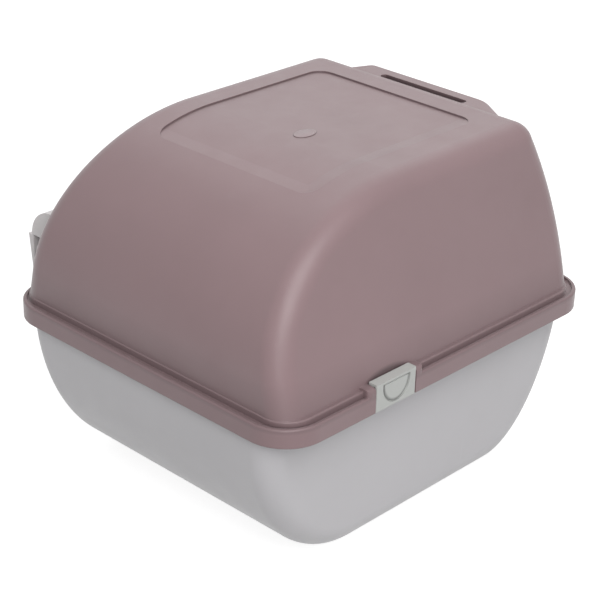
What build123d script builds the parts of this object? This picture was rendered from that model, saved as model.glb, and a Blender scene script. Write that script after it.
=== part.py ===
"""Self-cleaning litter box that is rolled on its side to sift the litter.

A light tub carries a curved cover on its rim. Two snap clips hold the cover down. Inside the
cover hang a sieve and a tray housing, and the waste tray slides out of the front face.

Frame: the origin is on the floor under the middle of the cover's flange, +Z is up. The entry
and the tray face -Y. The box is rolled towards +X, the side with the large curve.
All sizes are millimetres and all angles are degrees.
"""
import os
from math import cos, hypot, radians, sin, sqrt, tan

from build123d import *

# Overall size
FLANGE_WIDTH = 584.0
FLANGE_DEPTH = 508.0
HEIGHT = 470.0
FLANGE_CORNER_RADIUS = 57.0

# Cover shell
COVER_WALL = 2.6
RIGHT_LEDGE = 13.5
LEFT_LEDGE = 23.0
END_LEDGE = 12.5
END_FACE_LEAN = 12.4
ROLL_CURVE_WIDTH = 242.5
ROLL_FOOT_RISE = 45.0
LEFT_FACE_LEAN = 23.5
LEFT_FACE_FOOT_RISE = 16.0
CROWN_RADIUS = 32.0
COVER_EDGE_RADIUS = 31.0

# Flange around the cover's foot
SEAT_Z = 234.0
FLANGE_PLATE = 3.0
SKIRT_WALL = 3.0
SKIRT_DROP = 18.5
FLANGE_EDGE_RISE = 3.0
FLANGE_EDGE_WIDTH = 5.0
FLANGE_EDGE_RADIUS = 2.8
BEAD_RISE = 12.0
BEAD_WIDTH = 3.0
BEAD_SIDE_WIDTH = 0.8
BEAD_RADIUS = 2.0
BEAD_CORNER_RADIUS = 38.0

# Tub
TUB_WALL = 2.6
TUB_SIDE_INSET = 6.0
TUB_END_INSET = 32.5
TUB_FACE_DRAFT = 3.4
TUB_RIGHT_CURVE = 169.0
TUB_LEFT_CURVE = 133.0
TUB_CURVE_DROP = 7.0
TUB_EDGE_RADIUS = 32.0
RIM_PLATE = 3.0
RIM_LIP_WALL = 2.5
RIM_LIP_DROP = 16.0
RIM_CLEARANCE = 1.5
SEAT_GAP = 0.3
RIM_RIB_WALL = 2.5
RIM_RIB_PITCH = 80.0

# Panel, grip and gate pad moulded into the top of the cover
PANEL_DEPTH = 2.4
PANEL_LEFT_INSET = 101.0
PANEL_ROLL_RUN = 100.0
PANEL_CENTRE_Y = -2.5
PANEL_LENGTH = 271.0
PANEL_CORNER_RADIUS = 22.0
PANEL_RAMP = 7.0
GRIP_OUTER_INSET = 27.0
GRIP_ROOT_INSET = 74.0
GRIP_CENTRE_Y = -7.0
GRIP_LENGTH = 200.0
GRIP_FRONT_RUN = 20.0
GRIP_BACK_RUN = 72.0
GRIP_TOP_DROP = 1.5
GRIP_THICKNESS = 20.0
GRIP_EDGE_RADIUS = 6.0
GRIP_FRONT_RADIUS = 12.0
GRIP_BACK_RADIUS = 45.0
GRIP_WALL = 3.5
GRIP_SLOT_INSET = 54.0
GRIP_SLOT_CENTRE_Y = 5.5
GRIP_SLOT_WIDTH = 12.0
GRIP_SLOT_LENGTH = 145.0
GRIP_SLOT_DEPTH = 24.0
GRIP_SLOT_WALL = 2.5
GATE_PAD_X = 21.0
GATE_PAD_Y = 15.0
GATE_PAD_LENGTH = 34.0
GATE_PAD_WIDTH = 22.0
GATE_PAD_RISE = 0.8

# Entry in the front face
ENTRY_CENTRE_X = -70.0
ENTRY_WIDTH = 286.0
ENTRY_SILL_RISE = 30.0
ENTRY_TOP_DROP = 40.0
ENTRY_TOP_RADIUS = 72.0
ENTRY_SILL_RADIUS = 34.0
ENTRY_COLLAR_WIDTH = 6.0
ENTRY_COLLAR_RISE = 3.5

# Snap clips, one at the back and one at the front
CLIP_X = 104.0
CLIP_WIDTH = 70.0
CLIP_PLATE = 3.5
CLIP_TOP_RISE = 18.0
CLIP_TOP_PLATE = 3.2
CLIP_REACH = 13.4
CLIP_PIVOT_INSET = 11.0
CLIP_PIVOT_DROP = 13.0
CLIP_BARREL_RADIUS = 4.5
CLIP_PIN_RADIUS = 2.5
CLIP_PIN_CLEARANCE = 0.06
CLIP_SIDE_GAP = 1.0
CLIP_LUG_WALL = 5.0
CLIP_LUG_RADIUS = 6.0
CLIP_LUG_SPACING = 52.0
CLIP_LUG_GAP = 0.3
CLIP_CORNER_RADIUS = 1.5
CATCH_SHOULDER_RISE = 8.0
CATCH_GAP = 0.35
HOOK_LIP = 2.5
HOOK_LIP_GAP = 1.0
EAR_WIDTH = 13.0
EAR_RISE = 15.0
EAR_RADIUS = 6.0
THUMB_PAD_WIDTH = 48.0
THUMB_PAD_HEIGHT = 29.5
THUMB_PAD_DEPTH = 0.6
THUMB_PAD_TOP_DROP = 3.0
THUMB_GROOVE_WIDTH = 2.2
THUMB_GROOVE_DEPTH = 1.6

# Waste tray, its housing and its pull
TRAY_RIGHT_INSET = 81.5
TRAY_WIDTH = 78.0
TRAY_HEIGHT = 76.0
TRAY_WALL = 2.2
TRAY_EDGE_RADIUS = 10.0
TRAY_SIDE_CLEARANCE = 1.5
TRAY_RUN_GAP = 0.3
TRAY_BACK_CLEARANCE = 3.0
HOUSING_WALL = 2.6
HOUSING_FLOOR_RISE = 21.0
HOUSING_WALL_RISE = 3.5
TRAY_FRONT_PLATE = 3.0
TRAY_FRONT_GAP = 0.5
TRAY_FRONT_LAP = 7.0
TRAY_FRONT_RADIUS = 9.0
HOOD_WIDTH = 70.0
HOOD_RADIUS = 40.0
HOOD_INSET = 24.0
HOOD_RISE = 47.0
HOOD_WALL = 3.0
HOOD_APRON = 38.0
PULL_HEIGHT = 48.0
PULL_WALL = 6.5
PULL_LEAN = 6.0

# Ledges under the housing and its screws
LEDGE_REACH = 17.0
LEDGE_PLATE = 6.0
LEDGE_MARGIN = 8.0
EAR_BOSS_RADIUS = 6.0
EAR_BOSS_OFFSET = 4.0
EAR_BOSS_HEIGHT = 9.0
SCREW_RADIUS = 1.8
SCREW_HEAD_RADIUS = 4.0
SCREW_HEAD_HEIGHT = 2.4
SCREW_LENGTH = 12.0
SCREW_BITE_CLEARANCE = 0.05
SCREW_HOLE_CLEARANCE = 0.4

# Sieve
SIEVE_WALL = 3.0
SIEVE_END_GAP = 0.4
SIEVE_FOOT_DROP = 17.0
SIEVE_FOOT_GAP = 0.3
SIEVE_FOOT_RISE = 4.0
SIEVE_SHOULDER_RUN = 182.0
SIEVE_SHOULDER_DROP = 22.0
SIEVE_FLANGE_RUN = 32.0
SIEVE_SCREW_INSET = 23.0
SIEVE_FLANGE_WIDTH = 46.0
SIEVE_BEND_RADIUS = 8.0
SIEVE_SLOT_WIDTH = 12.0
SIEVE_SLOT_PITCH = 17.0
SIEVE_SLOTS = 21
SIEVE_ROW_GAP = 10.0
SIEVE_END_MARGIN = 16.0
ROOF_BOSS_RADIUS = 5.5
ROOF_BOSS_DROP = 20.0
ROOF_BOSSES = 4
ROOF_BOSS_PITCH = 90.0

# Levels and places that follow from the sizes above
PAST = 1.0
FLANGE_TOP_Z = SEAT_Z + FLANGE_PLATE
SKIRT_FOOT_Z = SEAT_Z - SKIRT_DROP
RIM_TOP_Z = SEAT_Z - SEAT_GAP
RIM_HALF_WIDTH = FLANGE_WIDTH / 2 - SKIRT_WALL - RIM_CLEARANCE
RIM_HALF_DEPTH = FLANGE_DEPTH / 2 - SKIRT_WALL - RIM_CLEARANCE
RIM_CORNER_RADIUS = FLANGE_CORNER_RADIUS - SKIRT_WALL - RIM_CLEARANCE
COVER_RIGHT_REACH = FLANGE_WIDTH / 2 - RIGHT_LEDGE
COVER_LEFT_REACH = FLANGE_WIDTH / 2 - LEFT_LEDGE
COVER_SEAT_HALF_DEPTH = FLANGE_DEPTH / 2 - END_LEDGE
LEFT_FACE_FOOT_Z = SEAT_Z + LEFT_FACE_FOOT_RISE
ROLL_CURVE_HEIGHT = HEIGHT - SEAT_Z - ROLL_FOOT_RISE
ROLL_START_X = COVER_RIGHT_REACH - ROLL_CURVE_WIDTH
PANEL_LEFT_X = PANEL_LEFT_INSET - COVER_LEFT_REACH
PANEL_RIGHT_X = ROLL_START_X + PANEL_ROLL_RUN
PANEL_WIDTH = PANEL_RIGHT_X - PANEL_LEFT_X
GRIP_OUTER_X = GRIP_OUTER_INSET - COVER_LEFT_REACH
GRIP_ROOT_X = GRIP_ROOT_INSET - COVER_LEFT_REACH
GRIP_FRONT_Y = GRIP_CENTRE_Y - GRIP_LENGTH / 2
GRIP_BACK_Y = GRIP_CENTRE_Y + GRIP_LENGTH / 2
GRIP_SLOT_X = GRIP_SLOT_INSET - COVER_LEFT_REACH
TUB_HALF_WIDTH = FLANGE_WIDTH / 2 - TUB_SIDE_INSET
TUB_RIM_HALF_DEPTH = FLANGE_DEPTH / 2 - TUB_END_INSET
TUB_CURVE_HEIGHT = SEAT_Z - TUB_CURVE_DROP
ENTRY_SILL_Z = SEAT_Z + ENTRY_SILL_RISE
ENTRY_HEIGHT = HEIGHT - ENTRY_TOP_DROP - ENTRY_SILL_Z
CLIP_TOP_Z = SEAT_Z + CLIP_TOP_RISE
CLIP_PIVOT_Z = SEAT_Z - CLIP_PIVOT_DROP
PIVOT_Y = FLANGE_DEPTH / 2 - CLIP_PIVOT_INSET
CATCH_SHOULDER_Z = SEAT_Z + CATCH_SHOULDER_RISE
CATCH_OUTER_Y = COVER_SEAT_HALF_DEPTH + BEAD_WIDTH
EAR_TOP_Z = SEAT_Z + EAR_RISE
CLIP_BAY_HALF_WIDTH = CLIP_WIDTH / 2 + CLIP_SIDE_GAP
TRAY_CENTRE_X = COVER_RIGHT_REACH - TRAY_RIGHT_INSET
HOUSING_FLOOR_Z = SEAT_Z + HOUSING_FLOOR_RISE
TRAY_FLOOR_Z = HOUSING_FLOOR_Z + HOUSING_WALL + TRAY_RUN_GAP
TRAY_TOP_Z = TRAY_FLOOR_Z + TRAY_HEIGHT
HOUSING_HALF_WIDTH = TRAY_WIDTH / 2 + TRAY_SIDE_CLEARANCE + HOUSING_WALL
HOUSING_TOP_Z = TRAY_TOP_Z + HOUSING_WALL_RISE
HOOD_CENTRE_Y = HOOD_INSET - FLANGE_DEPTH / 2
HOOD_CENTRE_Z = HOUSING_FLOOR_Z + HOOD_RISE
SIEVE_FOOT_X = TRAY_CENTRE_X + HOUSING_HALF_WIDTH + SIEVE_FOOT_GAP + SIEVE_WALL / 2
SIEVE_SHOULDER_X = SIEVE_FOOT_X - SIEVE_SHOULDER_RUN
SIEVE_FLANGE_TOP_Z = HEIGHT - ROOF_BOSS_DROP
SIEVE_SHOULDER_Z = SIEVE_FLANGE_TOP_Z - SIEVE_SHOULDER_DROP
SIEVE_SCREW_X = SIEVE_SHOULDER_X - SIEVE_FLANGE_RUN - SIEVE_SCREW_INSET


def block(low, high):
    """Box between two opposite corners."""
    size = [b - a for a, b in zip(low, high)]
    middle = [(a + b) / 2 for a, b in zip(low, high)]
    return Pos(*middle) * Box(*size)


def rounded_block(half_width, half_depth, radius, low_z, high_z):
    """Upright block with rounded corners, centred on the Z axis."""
    outline = RectangleRounded(2 * half_width, 2 * half_depth, radius)
    return Pos(0, 0, low_z) * extrude(outline, high_z - low_z)


def prism_along_x(outline, low_x, high_x):
    """Solid with the given Y-Z outline, between two X places."""
    sketch = Plane.YZ.offset(low_x) * outline
    return extrude(sketch, high_x - low_x)


def polygon(*points):
    """Face inside a closed row of points."""
    return make_face(Polyline(*points, close=True))


def end_y(z, outset=0.0):
    """Y of the cover's back face at a height, moved outwards by an outset. The front is its mirror."""
    lean = radians(END_FACE_LEAN)
    return COVER_SEAT_HALF_DEPTH - (z - SEAT_Z) * tan(lean) + outset / cos(lean)


def end_slab(near, far, low_z, high_z, low_x, high_x):
    """Plate parallel to the cover's front face, between two distances outside that face."""
    outline = polygon(
        (-end_y(low_z, near), low_z),
        (-end_y(high_z, near), high_z),
        (-end_y(high_z, far), high_z),
        (-end_y(low_z, far), low_z),
    )
    return prism_along_x(outline, low_x, high_x)


def cover_outline(inset, foot_z):
    """The cover seen from the front: leaning left side, tight crown, flat top and large roll curve."""
    lean = radians(LEFT_FACE_LEAN)
    side_radius = CROWN_RADIUS + (HEIGHT - CROWN_RADIUS - LEFT_FACE_FOOT_Z) / sin(lean)
    side_x = side_radius - COVER_LEFT_REACH
    crown_x = side_x - (side_radius - CROWN_RADIUS) * cos(lean)
    crown_z = HEIGHT - CROWN_RADIUS
    roll_z = HEIGHT - ROLL_CURVE_HEIGHT
    left = inset - COVER_LEFT_REACH
    right = COVER_RIGHT_REACH - inset
    top = HEIGHT - inset
    edges = [
        Line((left, foot_z), (left, LEFT_FACE_FOOT_Z)),
        CenterArc((side_x, LEFT_FACE_FOOT_Z), side_radius - inset, 180, -LEFT_FACE_LEAN),
        CenterArc((crown_x, crown_z), CROWN_RADIUS - inset, 180 - LEFT_FACE_LEAN, LEFT_FACE_LEAN - 90),
        Line((crown_x, top), (ROLL_START_X, top)),
        EllipticalCenterArc((ROLL_START_X, roll_z), right - ROLL_START_X, top - roll_z, 0, arc_size=90),
        Line((right, roll_z), (right, foot_z)),
        Line((right, foot_z), (left, foot_z)),
    ]
    return make_face(edges)


def cover_body(inset, foot_z):
    """The cover as a solid, every face moved inwards by an inset."""
    along = extrude(Plane.XZ * cover_outline(inset, foot_z), FLANGE_DEPTH / 2, both=True)
    top = HEIGHT + PAST
    ends = polygon(
        (-end_y(foot_z, -inset), foot_z),
        (end_y(foot_z, -inset), foot_z),
        (end_y(top, -inset), top),
        (-end_y(top, -inset), top),
    )
    body = along & prism_along_x(ends, -FLANGE_WIDTH / 2, FLANGE_WIDTH / 2)
    faces = body.faces().sort_by(Axis.Y)
    rim = [edge for face in (faces[0], faces[-1]) for edge in face.edges() if edge.center().Z > foot_z + PAST]
    return fillet(rim, COVER_EDGE_RADIUS - inset)


def cover_form(inset, foot_z):
    """The cover with the shallow panel sunk into its top, which fades out by ramps at the back and right."""
    body = cover_body(inset, foot_z)
    outline = RectangleRounded(PANEL_WIDTH + 2 * inset, PANEL_LENGTH + 2 * inset, PANEL_CORNER_RADIUS + inset)
    outline = Pos((PANEL_LEFT_X + PANEL_RIGHT_X) / 2, PANEL_CENTRE_Y) * outline
    low_z = HEIGHT - ROLL_CURVE_HEIGHT
    panel = Pos(0, 0, low_z) * extrude(outline, HEIGHT - low_z)
    back_y = PANEL_CENTRE_Y + PANEL_LENGTH / 2 + inset
    right_x = PANEL_RIGHT_X + inset
    along = (right_x - ROLL_START_X) / (ROLL_CURVE_WIDTH - inset)
    right_z = low_z + (ROLL_CURVE_HEIGHT - inset) * sqrt(1 - along**2)
    back_ramp = body.rotate(Axis((0, back_y, HEIGHT - inset), (1, 0, 0)), PANEL_RAMP)
    right_ramp = body.rotate(Axis((right_x, 0, right_z), (0, -1, 0)), PANEL_RAMP)
    floor = Pos(0, 0, -PANEL_DEPTH) * body + back_ramp + right_ramp
    return body - (panel - floor)


def tub_body(inset, top_z):
    """The tub as a solid: large rolled sides and slightly drafted ends, moved inwards by an inset."""
    right_x = TUB_HALF_WIDTH - TUB_RIGHT_CURVE
    left_x = TUB_LEFT_CURVE - TUB_HALF_WIDTH
    reach = TUB_HALF_WIDTH - inset
    depth_z = TUB_CURVE_HEIGHT - inset
    outline = make_face([
        Line((left_x, inset), (right_x, inset)),
        EllipticalCenterArc((right_x, TUB_CURVE_HEIGHT), TUB_RIGHT_CURVE - inset, depth_z, 270, arc_size=90),
        Line((reach, TUB_CURVE_HEIGHT), (reach, top_z)),
        Line((reach, top_z), (-reach, top_z)),
        Line((-reach, top_z), (-reach, TUB_CURVE_HEIGHT)),
        EllipticalCenterArc((left_x, TUB_CURVE_HEIGHT), TUB_LEFT_CURVE - inset, depth_z, 180, arc_size=90),
    ])
    draft = tan(radians(TUB_FACE_DRAFT))
    foot_half = TUB_RIM_HALF_DEPTH - RIM_TOP_Z * draft - inset
    top_half = TUB_RIM_HALF_DEPTH + (top_z - RIM_TOP_Z) * draft - inset
    ends = polygon((-foot_half, 0), (foot_half, 0), (top_half, top_z), (-top_half, top_z))
    body = extrude(Plane.XZ * outline, FLANGE_DEPTH / 2, both=True)
    body &= prism_along_x(ends, -FLANGE_WIDTH / 2, FLANGE_WIDTH / 2)
    faces = body.faces().sort_by(Axis.Y)
    rim = [edge for face in (faces[0], faces[-1]) for edge in face.edges() if edge.center().Z < top_z - PAST]
    return fillet(rim, TUB_EDGE_RADIUS - inset)


def at_both_ends(part):
    """A feature of the back end, with its mirror at the front."""
    return part + mirror(part, about=Plane.XZ)


def clip_lug(x):
    """Lug on the tub's back wall that carries one of a clip's pins."""
    root_y = TUB_RIM_HALF_DEPTH - TUB_WALL / 2
    web = polygon(
        (root_y, CLIP_PIVOT_Z - CLIP_LUG_RADIUS),
        (PIVOT_Y, CLIP_PIVOT_Z - CLIP_LUG_RADIUS),
        (PIVOT_Y, CLIP_PIVOT_Z + CLIP_LUG_RADIUS),
        (PIVOT_Y - CLIP_LUG_RADIUS, RIM_TOP_Z - RIM_PLATE / 2),
        (root_y, RIM_TOP_Z - RIM_PLATE / 2),
    )
    eye = Pos(PIVOT_Y, CLIP_PIVOT_Z) * Circle(CLIP_LUG_RADIUS)
    hole = Pos(PIVOT_Y, CLIP_PIVOT_Z) * Circle(CLIP_PIN_RADIUS + CLIP_PIN_CLEARANCE)
    return prism_along_x(web + eye - hole, x - CLIP_LUG_WALL / 2, x + CLIP_LUG_WALL / 2)


def base_tub():
    """Open tub with a ledge and a turned-down lip round its rim, and lugs for the clips."""
    lip_foot = RIM_TOP_Z - RIM_LIP_DROP
    rim = rounded_block(RIM_HALF_WIDTH, RIM_HALF_DEPTH, RIM_CORNER_RADIUS, lip_foot, RIM_TOP_Z)
    rim -= rounded_block(
        RIM_HALF_WIDTH - RIM_LIP_WALL,
        RIM_HALF_DEPTH - RIM_LIP_WALL,
        RIM_CORNER_RADIUS - RIM_LIP_WALL,
        lip_foot - PAST,
        RIM_TOP_Z - RIM_PLATE,
    )
    rib_span = TUB_HALF_WIDTH - TUB_RIGHT_CURVE / 2
    rib_count = int(rib_span // RIM_RIB_PITCH)
    rib = block(
        (-RIM_RIB_WALL / 2, TUB_RIM_HALF_DEPTH - TUB_WALL / 2, lip_foot),
        (RIM_RIB_WALL / 2, RIM_HALF_DEPTH - RIM_LIP_WALL / 2, RIM_TOP_Z - RIM_PLATE / 2),
    )
    ribs = [Pos(n * RIM_RIB_PITCH, 0, 0) * rib for n in range(-rib_count, rib_count + 1)]
    low_x = CLIP_X - CLIP_BAY_HALF_WIDTH
    high_x = CLIP_X + CLIP_BAY_HALF_WIDTH
    bay_y = PIVOT_Y - CLIP_BARREL_RADIUS - CLIP_SIDE_GAP
    bay = block((low_x, bay_y, lip_foot - PAST), (high_x, FLANGE_DEPTH / 2, RIM_TOP_Z + PAST))
    rib_bay = block((low_x, 0, lip_foot - PAST), (high_x, FLANGE_DEPTH / 2, RIM_TOP_Z + PAST))
    lugs = [clip_lug(CLIP_X + side * CLIP_LUG_SPACING / 2) for side in (-1, 1)]
    tub = tub_body(0, RIM_TOP_Z) + rim + at_both_ends(Part() + ribs - rib_bay)
    tub = tub - at_both_ends(bay) + at_both_ends(Part() + lugs)
    return tub - tub_body(TUB_WALL, RIM_TOP_Z + PAST)


def clip_section():
    """Side outline of the back clip's plate: face, top plate and the hook that grips the catch."""
    face_y = FLANGE_DEPTH / 2
    back_y = face_y - CLIP_PLATE
    hook_y = face_y - CLIP_REACH
    top_under = CLIP_TOP_Z - CLIP_TOP_PLATE
    slope_sum = CATCH_OUTER_Y + CATCH_SHOULDER_Z + CATCH_GAP * sqrt(2)
    lip_y = CATCH_OUTER_Y + HOOK_LIP_GAP
    return polygon(
        (face_y, SKIRT_FOOT_Z),
        (face_y, CLIP_TOP_Z),
        (hook_y, CLIP_TOP_Z),
        (hook_y, slope_sum - hook_y),
        (lip_y, slope_sum - lip_y),
        (lip_y + HOOK_LIP, slope_sum - lip_y),
        (lip_y + HOOK_LIP, top_under),
        (back_y, top_under),
        (back_y, SKIRT_FOOT_Z),
    )


def thumb_outline(inset):
    """Half-round outline on the clip's face: straight on top, round below."""
    width = THUMB_PAD_WIDTH - 2 * inset
    height = THUMB_PAD_HEIGHT - 2 * inset
    outline = Rectangle(width, height)
    outline = fillet(outline.vertices().group_by(Axis.Y)[0], width / 2 - PAST)
    return Pos(CLIP_X, CLIP_TOP_Z - THUMB_PAD_TOP_DROP - THUMB_PAD_HEIGHT / 2) * outline


def thumb_pad():
    """Cutter for the clip's half-round thumb pad: a shallow hollow with a deeper groove round it."""
    start = Plane.XZ.offset(-FLANGE_DEPTH / 2 - PAST)
    pad = extrude(start * thumb_outline(0), PAST + THUMB_PAD_DEPTH)
    groove = thumb_outline(0) - thumb_outline(THUMB_GROOVE_WIDTH)
    return pad + extrude(start * groove, PAST + THUMB_GROOVE_DEPTH)


def snap_clip():
    """Back clip: a face plate on a pivot barrel with two pins, hooked over the catch at its top."""
    half_width = CLIP_WIDTH / 2
    plate = prism_along_x(clip_section(), CLIP_X - half_width, CLIP_X + half_width)
    upright = plate.edges().filter_by(Axis.Z).filter_by(lambda e: e.center().Y > FLANGE_DEPTH / 2 - PAST)
    plate = fillet(upright, CLIP_CORNER_RADIUS)
    half_barrel = CLIP_LUG_SPACING / 2 - CLIP_LUG_WALL / 2 - CLIP_LUG_GAP
    web = block(
        (CLIP_X - half_barrel, PIVOT_Y, CLIP_PIVOT_Z - CLIP_BARREL_RADIUS),
        (CLIP_X + half_barrel, FLANGE_DEPTH / 2 - CLIP_PLATE / 2, CLIP_PIVOT_Z + CLIP_BARREL_RADIUS),
    )
    barrel = pivot_rod(CLIP_BARREL_RADIUS, half_barrel)
    pins = pivot_rod(CLIP_PIN_RADIUS, CLIP_LUG_SPACING / 2 + CLIP_LUG_WALL / 2)
    return plate + web + barrel + pins - thumb_pad()


def pivot_rod(radius, half_length):
    """Round bar on the back clip's pivot axis."""
    section = Pos(PIVOT_Y, CLIP_PIVOT_Z) * Circle(radius)
    return prism_along_x(section, CLIP_X - half_length, CLIP_X + half_length)


def cover_flange():
    """Ledge, raised outer edge and bead round the foot of the cover, still solid underneath."""
    edge_z = FLANGE_TOP_Z + FLANGE_EDGE_RISE
    flange = rounded_block(FLANGE_WIDTH / 2, FLANGE_DEPTH / 2, FLANGE_CORNER_RADIUS, SKIRT_FOOT_Z, edge_z)
    flange = fillet(flange.edges().group_by(Axis.Z)[-1], FLANGE_EDGE_RADIUS)
    channel = rounded_block(
        FLANGE_WIDTH / 2 - FLANGE_EDGE_WIDTH,
        FLANGE_DEPTH / 2 - FLANGE_EDGE_WIDTH,
        FLANGE_CORNER_RADIUS - FLANGE_EDGE_WIDTH,
        FLANGE_TOP_Z,
        edge_z + PAST,
    )
    bead_half_width = (COVER_RIGHT_REACH + COVER_LEFT_REACH) / 2 + BEAD_SIDE_WIDTH
    bead = rounded_block(bead_half_width, CATCH_OUTER_Y, BEAD_CORNER_RADIUS, SEAT_Z, SEAT_Z + BEAD_RISE)
    bead = fillet(bead.edges().group_by(Axis.Z)[-1], BEAD_RADIUS)
    return flange - channel + Pos((COVER_RIGHT_REACH - COVER_LEFT_REACH) / 2, 0, 0) * bead


def clip_ears():
    """Raised ear on each side of the back clip's bay, flush with the skirt."""
    ears = Part()
    for side in (-1, 1):
        near = CLIP_X + side * (CLIP_WIDTH / 2 + CLIP_SIDE_GAP)
        far = near + side * EAR_WIDTH
        low_y = end_y(EAR_TOP_Z, -COVER_WALL / 2)
        ear = block((min(near, far), low_y, SKIRT_FOOT_Z), (max(near, far), FLANGE_DEPTH / 2, EAR_TOP_Z))
        outer = ear.faces().sort_by(Axis.Y)[-1]
        top_edge = outer.edges().sort_by(Axis.Z)[-1]
        far_edge = outer.edges().sort_by(lambda e: abs(e.center().X - far))[0]
        ears += fillet([top_edge, far_edge], EAR_RADIUS)
    return ears


def clip_catch():
    """Catch under the back clip's hook: a 45 degree slope on the wall's foot."""
    rise = CATCH_OUTER_Y - end_y(CATCH_SHOULDER_Z, -COVER_WALL / 2)
    section = polygon(
        (CATCH_OUTER_Y - rise, SEAT_Z),
        (CATCH_OUTER_Y, SEAT_Z),
        (CATCH_OUTER_Y, CATCH_SHOULDER_Z),
        (CATCH_OUTER_Y - rise, CATCH_SHOULDER_Z + rise),
    )
    return prism_along_x(section, CLIP_X - CLIP_BAY_HALF_WIDTH, CLIP_X + CLIP_BAY_HALF_WIDTH)


def clip_bay():
    """Cutter for the gap in the flange that holds the back clip."""
    return block(
        (CLIP_X - CLIP_BAY_HALF_WIDTH, end_y(SEAT_Z, -COVER_WALL), SKIRT_FOOT_Z - PAST),
        (CLIP_X + CLIP_BAY_HALF_WIDTH, FLANGE_DEPTH / 2 + PAST, EAR_TOP_Z + PAST),
    )


def entry_outline(grow):
    """Arched entry seen from the front, grown outwards all round."""
    outline = Rectangle(ENTRY_WIDTH + 2 * grow, ENTRY_HEIGHT + 2 * grow)
    outline = fillet(outline.vertices().group_by(Axis.Y)[-1], ENTRY_TOP_RADIUS + grow)
    outline = fillet(outline.vertices().group_by(Axis.Y)[0], ENTRY_SILL_RADIUS + grow)
    return Pos(ENTRY_CENTRE_X, ENTRY_SILL_Z + ENTRY_HEIGHT / 2) * outline


def through_front(outline):
    """Prism of a front-view outline from the middle of the box out through the front face."""
    return extrude(Plane.XZ * outline, FLANGE_DEPTH)


def grip_bar():
    """Long grip on top of the left side, hollow underneath, with one short and one long end slope."""
    top_z = HEIGHT - GRIP_TOP_DROP
    low_z = top_z - GRIP_THICKNESS
    outline = polygon(
        (GRIP_ROOT_X, GRIP_FRONT_Y - GRIP_FRONT_RUN),
        (GRIP_OUTER_X, GRIP_FRONT_Y),
        (GRIP_OUTER_X, GRIP_BACK_Y),
        (GRIP_ROOT_X, GRIP_BACK_Y + GRIP_BACK_RUN),
    )
    outline = fillet(outline.vertices().sort_by(Axis.X)[:2].sort_by(Axis.Y)[-1], GRIP_BACK_RADIUS)
    outline = fillet(outline.vertices().sort_by(Axis.Y)[1], GRIP_FRONT_RADIUS)
    bar = Pos(0, 0, low_z) * extrude(outline, GRIP_THICKNESS)
    rim = [e for e in bar.edges() if e.center().X < GRIP_ROOT_X - PAST and e.bounding_box().size.Z < PAST]
    bar = fillet(rim, GRIP_EDGE_RADIUS)
    hollow = block(
        (GRIP_OUTER_X + GRIP_WALL, GRIP_FRONT_Y + GRIP_WALL, low_z - PAST),
        (GRIP_SLOT_X - GRIP_SLOT_WIDTH / 2 - GRIP_WALL, GRIP_BACK_Y - GRIP_WALL, top_z - GRIP_WALL),
    )
    return bar - (hollow - cover_body(0, SEAT_Z))


def grip_slot(grow, top_z):
    """Finger slot behind the grip, grown outwards all round."""
    outline = RectangleRounded(
        GRIP_SLOT_WIDTH + 2 * grow,
        GRIP_SLOT_LENGTH + 2 * grow,
        GRIP_SLOT_WIDTH / 2 + grow - PAST,
    )
    low_z = HEIGHT - GRIP_TOP_DROP - GRIP_SLOT_DEPTH - grow
    return Pos(GRIP_SLOT_X, GRIP_SLOT_CENTRE_Y, low_z) * extrude(outline, top_z - low_z)


def housing_ledge():
    """Ledges on the front and back walls inside the cover, under the tray housing's two ends."""
    half_width = HOUSING_HALF_WIDTH + LEDGE_MARGIN + EAR_BOSS_OFFSET
    low_z = HOUSING_FLOOR_Z - LEDGE_PLATE
    band = block(
        (TRAY_CENTRE_X - half_width, -FLANGE_DEPTH / 2, low_z),
        (TRAY_CENTRE_X + half_width, FLANGE_DEPTH / 2, HOUSING_FLOOR_Z),
    )
    inner_end = end_y(HOUSING_FLOOR_Z, -COVER_WALL - LEDGE_REACH)
    middle = block(
        (TRAY_CENTRE_X - half_width - PAST, -inner_end, low_z - PAST),
        (TRAY_CENTRE_X + half_width + PAST, inner_end, HOUSING_FLOOR_Z + PAST),
    )
    return band & cover_body(COVER_WALL / 2, SEAT_Z) - middle


def housing_screw_places():
    """Plan places of the housing's screws, one by each end of each side wall."""
    across = HOUSING_HALF_WIDTH + EAR_BOSS_OFFSET
    along = end_y(HOUSING_FLOOR_Z, -COVER_WALL - LEDGE_REACH / 2)
    return [(TRAY_CENTRE_X + side * across, end * along) for side in (-1, 1) for end in (-1, 1)]


def sieve_screw_places():
    """Plan places of the sieve's screws, in one row under the roof."""
    first = -(ROOF_BOSSES - 1) / 2 * ROOF_BOSS_PITCH
    return [(SIEVE_SCREW_X, first + n * ROOF_BOSS_PITCH) for n in range(ROOF_BOSSES)]


def upright_rods(places, radius, low_z, high_z):
    """Equal upright rods at a list of plan places."""
    rods = [Pos(x, y, low_z) * extrude(Circle(radius), high_z - low_z) for x, y in places]
    return Part() + rods


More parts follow.
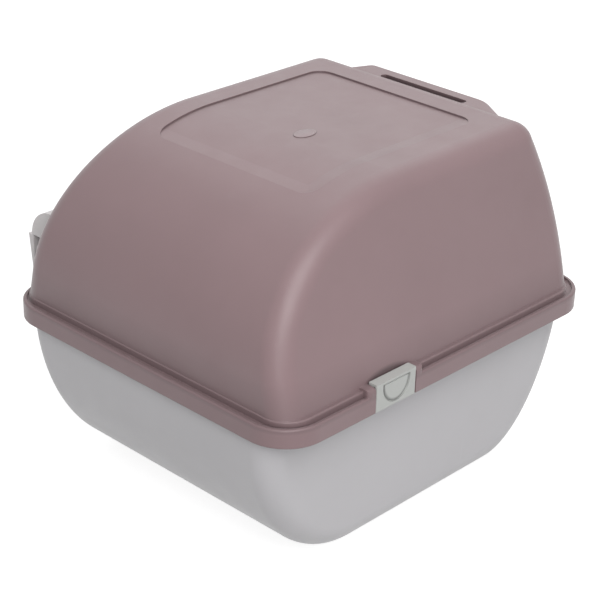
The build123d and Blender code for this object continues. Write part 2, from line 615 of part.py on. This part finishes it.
def upper_cover():
    """Moulded cover: curved shell, flange and skirt, entry, tray mouth, grip and clip bays."""
    foot_z = SEAT_Z - PAST
    shell = cover_form(0, SEAT_Z) + cover_flange() + at_both_ends(clip_ears())
    shell -= at_both_ends(clip_bay()) - cover_body(0, foot_z)
    shell += at_both_ends(clip_catch())
    shell += through_front(entry_outline(ENTRY_COLLAR_WIDTH)) & cover_body(-ENTRY_COLLAR_RISE, SEAT_Z)
    shell += grip_bar()
    shell += gate_pad()
    shell -= cover_form(COVER_WALL, foot_z)
    shell -= rounded_block(
        FLANGE_WIDTH / 2 - SKIRT_WALL,
        FLANGE_DEPTH / 2 - SKIRT_WALL,
        FLANGE_CORNER_RADIUS - SKIRT_WALL,
        SKIRT_FOOT_Z - PAST,
        SEAT_Z,
    )
    within = cover_form(COVER_WALL / 2, SEAT_Z)
    shell += grip_slot(GRIP_SLOT_WALL, HEIGHT) & within
    shell += upright_rods(sieve_screw_places(), ROOF_BOSS_RADIUS, SIEVE_FLANGE_TOP_Z, HEIGHT) & within
    shell += housing_ledge()
    shell -= through_front(entry_outline(0))
    shell -= through_front(tray_mouth())
    shell -= grip_slot(0, HEIGHT + PAST)
    shell -= upright_rods(
        sieve_screw_places(),
        SCREW_RADIUS + SCREW_BITE_CLEARANCE,
        SIEVE_FLANGE_TOP_Z - PAST,
        SIEVE_FLANGE_TOP_Z + SCREW_LENGTH - SIEVE_WALL + PAST,
    )
    shell -= upright_rods(
        housing_screw_places(),
        SCREW_RADIUS + SCREW_HOLE_CLEARANCE,
        HOUSING_FLOOR_Z - LEDGE_PLATE - PAST,
        HOUSING_FLOOR_Z + PAST,
    )
    return shell


def gate_pad():
    """Plain oval moulding pad on the panel."""
    low_z = HEIGHT - PANEL_DEPTH - COVER_WALL / 2
    outline = Pos(GATE_PAD_X, GATE_PAD_Y) * Ellipse(GATE_PAD_LENGTH / 2, GATE_PAD_WIDTH / 2)
    return Pos(0, 0, low_z) * extrude(outline, COVER_WALL / 2 + GATE_PAD_RISE)


def tray_mouth():
    """Front-view outline of the hole that the tray slides through."""
    width = TRAY_WIDTH + 2 * TRAY_SIDE_CLEARANCE
    low_z = HOUSING_FLOOR_Z + HOUSING_WALL
    height = HOUSING_TOP_Z - low_z
    return Pos(TRAY_CENTRE_X, low_z + height / 2) * Rectangle(width, height)


def ends_prism(front, back, low_z, high_z, half_width):
    """Prism across the tray whose ends lie parallel to the cover's end faces, at two outsets."""
    outline = polygon(
        (-end_y(low_z, front), low_z),
        (end_y(low_z, back), low_z),
        (end_y(high_z, back), high_z),
        (-end_y(high_z, front), high_z),
    )
    return prism_along_x(outline, TRAY_CENTRE_X - half_width, TRAY_CENTRE_X + half_width)


def tray_housing():
    """Open channel across the cover that the tray slides in, with a boss for each of its screws."""
    gap = -COVER_WALL - SEAT_GAP
    outer = ends_prism(gap, gap, HOUSING_FLOOR_Z, HOUSING_TOP_Z, HOUSING_HALF_WIDTH)
    inner = ends_prism(
        PAST,
        gap - HOUSING_WALL,
        HOUSING_FLOOR_Z + HOUSING_WALL,
        HOUSING_TOP_Z + PAST,
        HOUSING_HALF_WIDTH - HOUSING_WALL,
    )
    places = housing_screw_places()
    bosses = upright_rods(places, EAR_BOSS_RADIUS, HOUSING_FLOOR_Z, HOUSING_FLOOR_Z + EAR_BOSS_HEIGHT)
    bite = upright_rods(
        places,
        SCREW_RADIUS + SCREW_BITE_CLEARANCE,
        HOUSING_FLOOR_Z - PAST,
        HOUSING_FLOOR_Z + SCREW_LENGTH - LEDGE_PLATE + PAST,
    )
    within = cover_body(COVER_WALL + SEAT_GAP, SEAT_Z)
    return ((outer + bosses) & within) - inner - bite


def waste_tray():
    """Long open tray with a front plate that laps over the mouth, and a hood over the pull."""
    back = -COVER_WALL - SEAT_GAP - HOUSING_WALL - TRAY_BACK_CLEARANCE
    body = ends_prism(TRAY_FRONT_GAP + PAST, back, TRAY_FLOOR_Z, TRAY_TOP_Z, TRAY_WIDTH / 2)
    body = fillet(body.edges().group_by(Axis.Z)[0].filter_by(Axis.Y), TRAY_EDGE_RADIUS)
    hollow = ends_prism(
        -COVER_WALL,
        back - TRAY_WALL,
        TRAY_FLOOR_Z + TRAY_WALL,
        TRAY_TOP_Z + PAST,
        TRAY_WIDTH / 2 - TRAY_WALL,
    )
    hollow = fillet(hollow.edges().group_by(Axis.Z)[0].filter_by(Axis.Y), TRAY_EDGE_RADIUS - TRAY_WALL)
    return body - hollow + tray_front() + tray_hood()


def tray_front():
    """Plate outside the front face that covers the mouth's edges."""
    half_width = TRAY_WIDTH / 2 + TRAY_SIDE_CLEARANCE + TRAY_FRONT_LAP
    plate = end_slab(
        TRAY_FRONT_GAP,
        TRAY_FRONT_GAP + TRAY_FRONT_PLATE,
        HOUSING_FLOOR_Z + HOUSING_WALL - TRAY_FRONT_LAP,
        HOUSING_TOP_Z + TRAY_FRONT_LAP,
        TRAY_CENTRE_X - half_width,
        TRAY_CENTRE_X + half_width,
    )
    corners = [e for e in plate.edges() if e.length < TRAY_FRONT_PLATE * 2]
    return fillet(corners, TRAY_FRONT_RADIUS)


def hood_section(radius, apron):
    """Side outline of a quarter-round hood with a straight apron below it, back to the front plate."""
    top = (HOOD_CENTRE_Y, HOOD_CENTRE_Z + radius)
    front = (HOOD_CENTRE_Y - radius, HOOD_CENTRE_Z)
    low_z = HOOD_CENTRE_Z - apron
    root_top = (-end_y(top[1], TRAY_FRONT_GAP + TRAY_FRONT_PLATE / 2), top[1])
    root_low = (-end_y(low_z, TRAY_FRONT_GAP + TRAY_FRONT_PLATE / 2), low_z)
    edges = [
        Line(root_top, top),
        CenterArc((HOOD_CENTRE_Y, HOOD_CENTRE_Z), radius, 90, 90),
        Line(front, (front[0], low_z)),
        Line((front[0], low_z), root_low),
        Line(root_low, root_top),
    ]
    return make_face(edges)


def tray_hood():
    """Quarter-round hood with closed ends, and an apron that carries the pull."""
    low_x = TRAY_CENTRE_X - HOOD_WIDTH / 2
    high_x = TRAY_CENTRE_X + HOOD_WIDTH / 2
    outer = prism_along_x(hood_section(HOOD_RADIUS, HOOD_APRON), low_x, high_x)
    inner = hood_section(HOOD_RADIUS - HOOD_WALL, HOOD_APRON + PAST)
    apron_low = (low_x - PAST, HOOD_CENTRE_Y - HOOD_RADIUS + HOOD_WALL, HOOD_CENTRE_Z - HOOD_APRON - PAST)
    below_ends = block(apron_low, (high_x + PAST, 0, HOOD_CENTRE_Z))
    return outer - prism_along_x(inner, low_x + HOOD_WALL, high_x - HOOD_WALL) - below_ends


def tray_handle():
    """Thick pull strip on the hood's apron."""
    back_y = HOOD_CENTRE_Y - HOOD_RADIUS
    low_z = HOOD_CENTRE_Z - PULL_HEIGHT
    section = polygon(
        (back_y, HOOD_CENTRE_Z),
        (back_y, HOOD_CENTRE_Z - HOOD_APRON),
        (back_y + HOOD_WALL, HOOD_CENTRE_Z - HOOD_APRON),
        (back_y + HOOD_WALL, low_z),
        (back_y - PULL_WALL + PULL_LEAN, low_z),
        (back_y - PULL_WALL, HOOD_CENTRE_Z),
    )
    return prism_along_x(section, TRAY_CENTRE_X - HOOD_WIDTH / 2, TRAY_CENTRE_X + HOOD_WIDTH / 2)


def sieve_grille():
    """Bent sieve panel with two rows of slots, from the housing's outer wall up to the roof."""
    knee = (SIEVE_FOOT_X, HOUSING_TOP_Z + SIEVE_FOOT_RISE)
    shoulder = (SIEVE_SHOULDER_X, SIEVE_SHOULDER_Z)
    flange_z = SIEVE_FLANGE_TOP_Z - SIEVE_WALL / 2
    corner = (SIEVE_SHOULDER_X - SIEVE_FLANGE_RUN, flange_z)
    path = FilletPolyline(
        (SIEVE_FOOT_X, HOUSING_TOP_Z - SIEVE_FOOT_DROP),
        knee,
        shoulder,
        corner,
        (corner[0] - SIEVE_FLANGE_WIDTH, flange_z),
        radius=SIEVE_BEND_RADIUS,
    )
    panel = extrude(Plane.XZ * trace(path, SIEVE_WALL), FLANGE_DEPTH / 2, both=True)
    panel &= cover_body(COVER_WALL + SIEVE_END_GAP, SEAT_Z)
    run_x = shoulder[0] - knee[0]
    run_z = shoulder[1] - knee[1]
    run = hypot(run_x, run_z)
    slot_length = (run - 2 * SIEVE_END_MARGIN - SIEVE_ROW_GAP) / 2
    slope = Plane(
        origin=((knee[0] + shoulder[0]) / 2, 0, (knee[1] + shoulder[1]) / 2),
        x_dir=(run_x, 0, run_z),
        z_dir=(-run_z, 0, run_x),
    )
    places = GridLocations(slot_length + SIEVE_ROW_GAP, SIEVE_SLOT_PITCH, 2, SIEVE_SLOTS)
    slots = Sketch() + [place * Rectangle(slot_length, SIEVE_SLOT_WIDTH) for place in places]
    panel -= extrude(slope * slots, SIEVE_WALL, both=True)
    holes = upright_rods(
        sieve_screw_places(),
        SCREW_RADIUS + SCREW_HOLE_CLEARANCE,
        SIEVE_FLANGE_TOP_Z - SIEVE_WALL - PAST,
        SIEVE_FLANGE_TOP_Z + PAST,
    )
    return panel - holes


def screws(places, seat_z):
    """Pan-head screws driven upwards, their heads under a seat."""
    profile = [
        (0, seat_z - SCREW_HEAD_HEIGHT),
        (SCREW_HEAD_RADIUS, seat_z - SCREW_HEAD_HEIGHT),
        (SCREW_HEAD_RADIUS, seat_z),
        (SCREW_RADIUS, seat_z),
        (SCREW_RADIUS, seat_z + SCREW_LENGTH - SCREW_RADIUS),
        (0, seat_z + SCREW_LENGTH),
    ]
    screw = revolve(Plane.XZ * polygon(*profile), Axis.Z)
    return Compound(children=[Pos(x, y, 0) * screw for x, y in places])


PARTS = {
    "base_tub": base_tub,
    "upper_cover": upper_cover,
    "snap_clip_back": snap_clip,
    "snap_clip_front": lambda: mirror(snap_clip(), about=Plane.XZ),
    "sieve_grille": sieve_grille,
    "tray_housing": tray_housing,
    "waste_tray": waste_tray,
    "tray_handle": tray_handle,
    "sieve_screws": lambda: screws(sieve_screw_places(), SIEVE_FLANGE_TOP_Z - SIEVE_WALL),
    "housing_screws": lambda: screws(housing_screw_places(), HOUSING_FLOOR_Z - LEDGE_PLATE),
}

os.makedirs("parts", exist_ok=True)
for name, make in PARTS.items():
    export_step(make(), f"parts/{name}.step")
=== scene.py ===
"""Look of the self-cleaning litter box: camera, soft light and moulded plastic materials.

Lengths are metres, in the same frame as the solids: +Z up, the entry and the tray face -Y.
"""
from math import cos, radians, sin

import bpy
from mathutils import Matrix, Vector

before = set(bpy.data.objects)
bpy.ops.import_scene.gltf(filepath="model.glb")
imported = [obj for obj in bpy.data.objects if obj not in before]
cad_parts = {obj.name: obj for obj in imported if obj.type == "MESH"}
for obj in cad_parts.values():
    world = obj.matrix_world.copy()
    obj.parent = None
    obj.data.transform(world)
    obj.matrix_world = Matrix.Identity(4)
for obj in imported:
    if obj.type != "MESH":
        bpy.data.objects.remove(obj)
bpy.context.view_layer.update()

# Camera
CAMERA_AZIMUTH = radians(133.27)
CAMERA_ELEVATION = radians(26.369)
CAMERA_ROLL = radians(1.597)
CAMERA_TARGET = Vector((0.0, 0.0, 0.22484))
CAMERA_DISTANCE = 2.3044
CAMERA_FOCAL_MM = 105.15
CAMERA_SHIFT_X = -0.0051
CAMERA_REACH = 50.0
SENSOR_MM = 36.0

# Soft square lamps: power in watts, width and place
LAMPS = {
    "key": (68.0, 2.2, Vector((1.1, 1.9, 2.4))),
    "fill": (14.0, 0.8, Vector((2.2, 2.3, 0.8))),
    "rim": (25.0, 3.2, Vector((-1.4, -1.3, 2.7))),
}

# World and floor
WORLD_STRENGTH = 0.45
WHITE = (1.0, 1.0, 1.0, 1.0)
FLOOR_SIZE = 14.0
FLOOR_GAP = 0.0002
FLOOR_COLOUR = (0.38, 0.38, 0.38)
FLOOR_GLOW = 0.85

# Colours, as linear values
COVER_COLOUR = (0.232, 0.155, 0.163)
TUB_COLOUR = (0.500, 0.488, 0.505)
CLIP_COLOUR = (0.425, 0.434, 0.418)
PULL_COLOUR = (0.66, 0.63, 0.63)
SCREW_COLOUR = (0.55, 0.55, 0.56)

# Cloudy colour and flow marks in the plastic, as noise per metre
CLOUD_SCALE = 4.5
FLOW_SCALE = 9.0
FLOW_STRETCH = (1.0, 0.35, 1.0)

# Thin light scuffs
SCUFF_SCALE = 150.0
SCUFF_STRETCH = (1.0, 1.0, 0.12)
SCUFF_STRENGTH = 0.35
SCUFF_LIGHTER = 1.22

# Uneven walls, moulded grain and patches of gloss
WAVE_SCALE = 7.0
WAVE_HEIGHT = 0.0003
GRAIN_HEIGHT_SHARE = 1 / 9
GRAIN_STRENGTH = 0.6
GLOSS_SCALE = 26.0
GLOSS_SMOOTHER = 0.05
GLOSS_ROUGHER = 0.07
EDGE_SAMPLES = 6

# Plastic's refraction, and the bloom of its fine grain at low angles
PLASTIC_IOR = 1.49
SHEEN = 0.25
SHEEN_ROUGHNESS = 0.4

# Painted shade in hollows, deeper towards the top of the box
PAINTED_SHADE_DARKER = 0.35
HOLLOW_REACH = 0.022
HOLLOW_SAMPLES = 8
HOLLOW_CLOSED = 0.35
HOLLOW_OPEN = 0.95
HOLLOW_SHADE_LOW = 0.08
HOLLOW_SHADE_HIGH = 0.9
HOLLOW_LOW_Z = 0.3
HOLLOW_HIGH_Z = 0.44

# Painted shade: darker skirt, and shade that is deepest in the channel and thins out up the foot of the
# cover's wall
SKIRT_SHADE = 0.12
CHANNEL_SHADE = 0.34
CHANNEL_LOW_Z = 0.233
CHANNEL_HIGH_Z = 0.2365
SHADE_TOP_Z = 0.29

# Painted shade on the cover's wall behind each clip
CLIP_MIDDLE = Vector((0.104, 0.235, 0.243))
CLIP_HALO = Vector((0.039, 0.02, 0.014))
CLIP_HALO_INNER = 0.85
CLIP_HALO_OUTER = 1.2
CLIP_HALO_SHADE = 0.85

# Painted shade: darker line in the groove round the clip's thumb pad
THUMB_TOP = Vector((0.104, 0.0, 0.2479))
THUMB_TOP_FADE = 0.001
THUMB_HALF_SIZE = Vector((0.0229, 1.0, 0.0276))
THUMB_LINE = 0.11
THUMB_SHADE = 0.9

# Polished oval pad on the cover's panel
PAD_CENTRE = Vector((0.021, 0.015, 0.4684))
PAD_HALF_SIZE = Vector((0.017, 0.011, 0.017))
PAD_EDGE = 0.9
PAD_DOME = 0.0012
PAD_ROUGHNESS = 0.2

# Zinc plating on the screws
PLATING_SCALE = 400.0
PLATING_GRAIN_SCALE = 900.0
PLATING_GRAIN_HEIGHT = 0.00005
PLATING_SMOOTH = 0.28
PLATING_ROUGH = 0.42


def add_node(tree, kind, inputs=(), **settings):
    """One node, with its settings and its plain or linked inputs."""
    node = tree.nodes.new(kind)
    for name, value in settings.items():
        setattr(node, name, value)
    for name, value in dict(inputs).items():
        if isinstance(value, bpy.types.NodeSocket):
            tree.links.new(value, node.inputs[name])
        else:
            node.inputs[name].default_value = value
    return node


class Shader:
    """Short way to add and join the shader nodes of one material."""

    def __init__(self, name):
        self.material = bpy.data.materials.new(name)
        self.material.use_nodes = True
        self.tree = self.material.node_tree
        self.tree.nodes.clear()
        self.place = self.add("ShaderNodeTexCoord").outputs["Object"]

    def add(self, kind, inputs=(), **settings):
        """One node of this material."""
        return add_node(self.tree, kind, inputs, **settings)

    def noise(self, scale, detail=3.0, roughness=0.5, stretch=(1, 1, 1)):
        """Noise over the object, as a factor."""
        mapped = self.add("ShaderNodeMapping", {"Vector": self.place, "Scale": stretch})
        noise = self.add("ShaderNodeTexNoise", {
            "Vector": mapped.outputs["Vector"],
            "Scale": scale,
            "Detail": detail,
            "Roughness": roughness,
        })
        return noise.outputs["Fac"]

    def ramp(self, value, low, high, to_low=0.0, to_high=1.0):
        """A value moved from one range to another and held inside it."""
        node = self.add("ShaderNodeMapRange", {
            "Value": value,
            "From Min": low,
            "From Max": high,
            "To Min": to_low,
            "To Max": to_high,
        })
        return node.outputs["Result"]

    def blend(self, factor, first, second):
        """Colour between two colours, plain or linked."""
        node = self.add("ShaderNodeMix", {0: factor, 6: first, 7: second}, data_type="RGBA")
        return node.outputs[2]

    def between(self, factor, first, second):
        """Number between two numbers, plain or linked."""
        return self.add("ShaderNodeMix", {0: factor, 2: first, 3: second}).outputs[0]

    def height(self):
        """Height over the floor."""
        return self.add("ShaderNodeSeparateXYZ", {"Vector": self.place}).outputs["Z"]

    def reach(self, centre, half_size):
        """Distance from a centre, 0 there and 1 on the oval of the given half sizes."""
        scale = Vector([1 / half for half in half_size])
        inputs = {"Vector": self.place, "Scale": scale, "Location": -centre * scale}
        moved = self.add("ShaderNodeMapping", inputs).outputs["Vector"]
        return self.add("ShaderNodeVectorMath", {0: moved}, operation="LENGTH").outputs["Value"]

    def bump(self, height, distance, strength=1.0, normal=None):
        """Normal tilted by a height."""
        inputs = {"Height": height, "Distance": distance, "Strength": strength}
        if normal:
            inputs["Normal"] = normal
        return self.add("ShaderNodeBump", inputs).outputs["Normal"]

    def finish(self, surface):
        """The material, with its surface joined to the output."""
        self.add("ShaderNodeOutputMaterial", {"Surface": surface})
        return self.material


def opaque(colour, scale=1.0):
    """Colour with an alpha, made lighter or darker."""
    return (*[channel * scale for channel in colour], 1.0)


def cover_painted_shade(shader, base, painted_shade):
    """Cover colour with painted shade: a darker skirt, a darker channel and wall foot, and shade on the
    wall behind each clip.
    """
    height = shader.height()
    # Painted shade: lighter on the skirt, darkest in the channel, fading out up the wall's foot
    foot_shade = shader.ramp(height, CHANNEL_LOW_Z, CHANNEL_HIGH_Z, SKIRT_SHADE, CHANNEL_SHADE)
    foot_shade = shader.between(shader.ramp(height, CHANNEL_HIGH_Z, SHADE_TOP_Z), foot_shade, 0.0)
    base = shader.blend(foot_shade, base, painted_shade)
    for side in (-1, 1):
        middle = Vector((CLIP_MIDDLE.x, side * CLIP_MIDDLE.y, CLIP_MIDDLE.z))
        # Painted shade on the wall behind this clip
        reach = shader.reach(middle, CLIP_HALO)
        clip_shade = shader.ramp(reach, CLIP_HALO_INNER, CLIP_HALO_OUTER, CLIP_HALO_SHADE, 0.0)
        base = shader.blend(clip_shade, base, painted_shade)
    return base


def shaded_thumb_pad(shader, base, painted_shade):
    """Clip colour with a painted shade line in the groove round its thumb pad."""
    reach = shader.reach(THUMB_TOP, THUMB_HALF_SIZE)
    outside = shader.ramp(reach, 1.0, 1.0 + THUMB_LINE, THUMB_SHADE, 0.0)
    line = shader.between(shader.ramp(reach, 1.0 - THUMB_LINE, 1.0), 0.0, outside)
    below = shader.ramp(shader.height(), THUMB_TOP.z, THUMB_TOP.z + THUMB_TOP_FADE, 1.0, 0.0)
    return shader.blend(shader.between(below, 0.0, line), base, painted_shade)


def polished_pad(shader, gloss, normal):
    """Gloss and normal of the cover with the oval pad, polished and slightly domed."""
    reach = shader.reach(PAD_CENTRE, PAD_HALF_SIZE)
    gloss = shader.between(shader.ramp(reach, PAD_EDGE, 1.0, 1.0, 0.0), gloss, PAD_ROUGHNESS)
    dome = shader.ramp(reach, 0.0, 1.0, 1.0, 0.0)
    return gloss, shader.bump(dome, PAD_DOME, normal=normal)


def moulded_plastic(name, colour, roughness, grain, cloud=0.02, rounding=0.0006, cover=False, clip=False):
    """Moulded polypropylene: spark grain, cloudy colour, flow marks, scuffs, painted shade in hollows and
    softened edges.
    """
    shader = Shader(name)
    lighter = opaque(colour, 1 + cloud)
    clouds = shader.ramp(shader.noise(CLOUD_SCALE, detail=4.0, roughness=0.62), 0.3, 0.7)
    flow = shader.ramp(shader.noise(FLOW_SCALE, detail=2.0, stretch=FLOW_STRETCH), 0.35, 0.65)
    base = shader.blend(clouds, opaque(colour, 1 - cloud), lighter)
    base = shader.blend(flow, base, shader.blend(0.5, base, lighter))
    scuff_field = shader.noise(SCUFF_SCALE, detail=5.0, roughness=0.7, stretch=SCUFF_STRETCH)
    scuffs = shader.ramp(scuff_field, 0.68, 0.76, 0.0, SCUFF_STRENGTH)
    base = shader.blend(scuffs, base, opaque(colour, SCUFF_LIGHTER))

    # Darker copy of the colour, laid on as painted shade
    painted_shade = opaque(colour, PAINTED_SHADE_DARKER)
    # Painted shade in hollows, from how enclosed each point is and how high it is
    air_inputs = {"Distance": HOLLOW_REACH}
    air = shader.add("ShaderNodeAmbientOcclusion", air_inputs, samples=HOLLOW_SAMPLES, only_local=True)
    openness = shader.ramp(air.outputs["AO"], HOLLOW_CLOSED, HOLLOW_OPEN)
    deepest = shader.ramp(shader.height(), HOLLOW_LOW_Z, HOLLOW_HIGH_Z, HOLLOW_SHADE_LOW, HOLLOW_SHADE_HIGH)
    base = shader.blend(shader.between(openness, deepest, 0.0), base, painted_shade)
    # Painted shade on the cover's skirt, channel, wall foot and wall behind the clips
    if cover:
        base = cover_painted_shade(shader, base, painted_shade)
    # Painted shade in the groove round the clip's thumb pad
    if clip:
        base = shaded_thumb_pad(shader, base, painted_shade)

    rounded = shader.add("ShaderNodeBevel", {"Radius": rounding}, samples=EDGE_SAMPLES)
    waves = shader.noise(WAVE_SCALE, detail=1.0)
    wavy = shader.bump(waves, WAVE_HEIGHT, normal=rounded.outputs["Normal"])
    grain_field = shader.noise(1 / grain, detail=2.0, roughness=0.55)
    normal = shader.bump(grain_field, grain * GRAIN_HEIGHT_SHARE, strength=GRAIN_STRENGTH, normal=wavy)
    patches = shader.noise(GLOSS_SCALE, detail=5.0, roughness=0.65)
    gloss = shader.ramp(patches, 0.25, 0.75, roughness - GLOSS_SMOOTHER, roughness + GLOSS_ROUGHER)
    if cover:
        gloss, normal = polished_pad(shader, gloss, normal)
    surface = shader.add("ShaderNodeBsdfPrincipled", {
        "Base Color": base,
        "Roughness": gloss,
        "IOR": PLASTIC_IOR,
        "Specular IOR Level": 0.5,
        "Sheen Weight": SHEEN,
        "Sheen Roughness": SHEEN_ROUGHNESS,
        "Normal": normal,
    })
    return shader.finish(surface.outputs["BSDF"])


def plated_steel(name, colour):
    """Zinc-plated screw steel with a patchy gloss."""
    shader = Shader(name)
    patches = shader.ramp(shader.noise(PLATING_SCALE, detail=4.0), 0.3, 0.7)
    surface = shader.add("ShaderNodeBsdfPrincipled", {
        "Base Color": shader.blend(patches, opaque(colour, 0.85), opaque(colour, 1.1)),
        "Metallic": 1.0,
        "Roughness": shader.ramp(patches, 0.0, 1.0, PLATING_SMOOTH, PLATING_ROUGH),
        "Normal": shader.bump(shader.noise(PLATING_GRAIN_SCALE), PLATING_GRAIN_HEIGHT),
    })
    return shader.finish(surface.outputs["BSDF"])


def seen(tree):
    """Factor that is 1 where the camera looks, straight or by way of gloss or glass."""
    path = add_node(tree, "ShaderNodeLightPath")
    factor = path.outputs["Is Camera Ray"]
    for ray in ("Is Glossy Ray", "Is Transmission Ray"):
        either = add_node(tree, "ShaderNodeMath", {0: factor, 1: path.outputs[ray]}, operation="MAXIMUM")
        factor = either.outputs["Value"]
    return factor


def make_floor():
    """Floor that is seen as white and keeps the box's soft shadow."""
    half = FLOOR_SIZE / 2
    mesh = bpy.data.meshes.new("floor")
    corners = [(x, y, -FLOOR_GAP) for x, y in ((-half, -half), (half, -half), (half, half), (-half, half))]
    mesh.from_pydata(corners, [], [(0, 1, 2, 3)])
    floor = bpy.data.objects.new("floor", mesh)
    bpy.context.collection.objects.link(floor)
    shader = Shader("floor")
    matt = shader.add("ShaderNodeBsdfDiffuse", {"Color": opaque(FLOOR_COLOUR)}).outputs[0]
    glow = shader.add("ShaderNodeEmission", {"Strength": FLOOR_GLOW}).outputs[0]
    both = shader.add("ShaderNodeAddShader", {0: matt, 1: glow}).outputs[0]
    mix = shader.add("ShaderNodeMixShader", {0: seen(shader.tree), 1: matt, 2: both}).outputs[0]
    floor.data.materials.append(shader.finish(mix))


def make_world():
    """Even studio light, seen as white behind the object."""
    world = bpy.data.worlds.new("studio")
    bpy.context.scene.world = world
    world.use_nodes = True
    tree = world.node_tree
    tree.nodes.clear()
    light = add_node(tree, "ShaderNodeBackground", {"Color": WHITE, "Strength": WORLD_STRENGTH}).outputs[0]
    white = add_node(tree, "ShaderNodeBackground", {"Color": WHITE}).outputs[0]
    mix = add_node(tree, "ShaderNodeMixShader", {0: seen(tree), 1: light, 2: white}).outputs[0]
    add_node(tree, "ShaderNodeOutputWorld", {"Surface": mix})


def make_lamp(name, power, width, place):
    """Square soft lamp aimed at the middle of the box."""
    data = bpy.data.lights.new(name, "AREA")
    data.energy = power
    data.size = width
    lamp = bpy.data.objects.new(name, data)
    lamp.location = place
    lamp.rotation_euler = (CAMERA_TARGET - place).to_track_quat("-Z", "Y").to_euler()
    bpy.context.collection.objects.link(lamp)


def make_camera():
    """Camera at the photograph's angle."""
    data = bpy.data.cameras.new("camera")
    data.lens = CAMERA_FOCAL_MM
    data.sensor_width = SENSOR_MM
    data.shift_x = CAMERA_SHIFT_X
    data.clip_end = CAMERA_REACH
    back = Vector((
        sin(CAMERA_AZIMUTH) * cos(CAMERA_ELEVATION),
        -cos(CAMERA_AZIMUTH) * cos(CAMERA_ELEVATION),
        sin(CAMERA_ELEVATION),
    ))
    right = (-back).cross(Vector((0, 0, 1))).normalized()
    up = back.cross(right)
    rolled_right = right * cos(CAMERA_ROLL) + up * sin(CAMERA_ROLL)
    rolled_up = up * cos(CAMERA_ROLL) - right * sin(CAMERA_ROLL)
    turn = Matrix((rolled_right, rolled_up, back)).transposed().to_4x4()
    camera = bpy.data.objects.new("camera", data)
    camera.matrix_world = Matrix.Translation(CAMERA_TARGET + back * CAMERA_DISTANCE) @ turn
    bpy.context.collection.objects.link(camera)
    bpy.context.scene.camera = camera


def dress(node, material):
    """Put one material on all of a CAD node."""
    mesh = bpy.data.objects[node].data
    mesh.materials.clear()
    mesh.materials.append(material)


cover_look = moulded_plastic(
    "cover_plastic", COVER_COLOUR, roughness=0.42, grain=0.0011, cloud=0.05, rounding=0.0013, cover=True)
tub_look = moulded_plastic("tub_plastic", TUB_COLOUR, roughness=0.40, grain=0.0010)
clip_look = moulded_plastic("clip_plastic", CLIP_COLOUR, roughness=0.36, grain=0.0008, clip=True)
pull_look = moulded_plastic("tray_plastic", PULL_COLOUR, roughness=0.38, grain=0.0009)
screw_look = plated_steel("screw_steel", SCREW_COLOUR)

for look, nodes in (
    (cover_look, ("upper_cover", "sieve_grille", "tray_housing")),
    (tub_look, ("base_tub",)),
    (clip_look, ("snap_clip_back", "snap_clip_front")),
    (pull_look, ("waste_tray", "tray_handle")),
    (screw_look, ("sieve_screws", "housing_screws")),
):
    for node in nodes:
        dress(node, look)

make_floor()
make_world()
for lamp_name, (power, width, place) in LAMPS.items():
    make_lamp(lamp_name, power, width, place)
make_camera()
bpy.context.scene.view_settings.view_transform = "Standard"
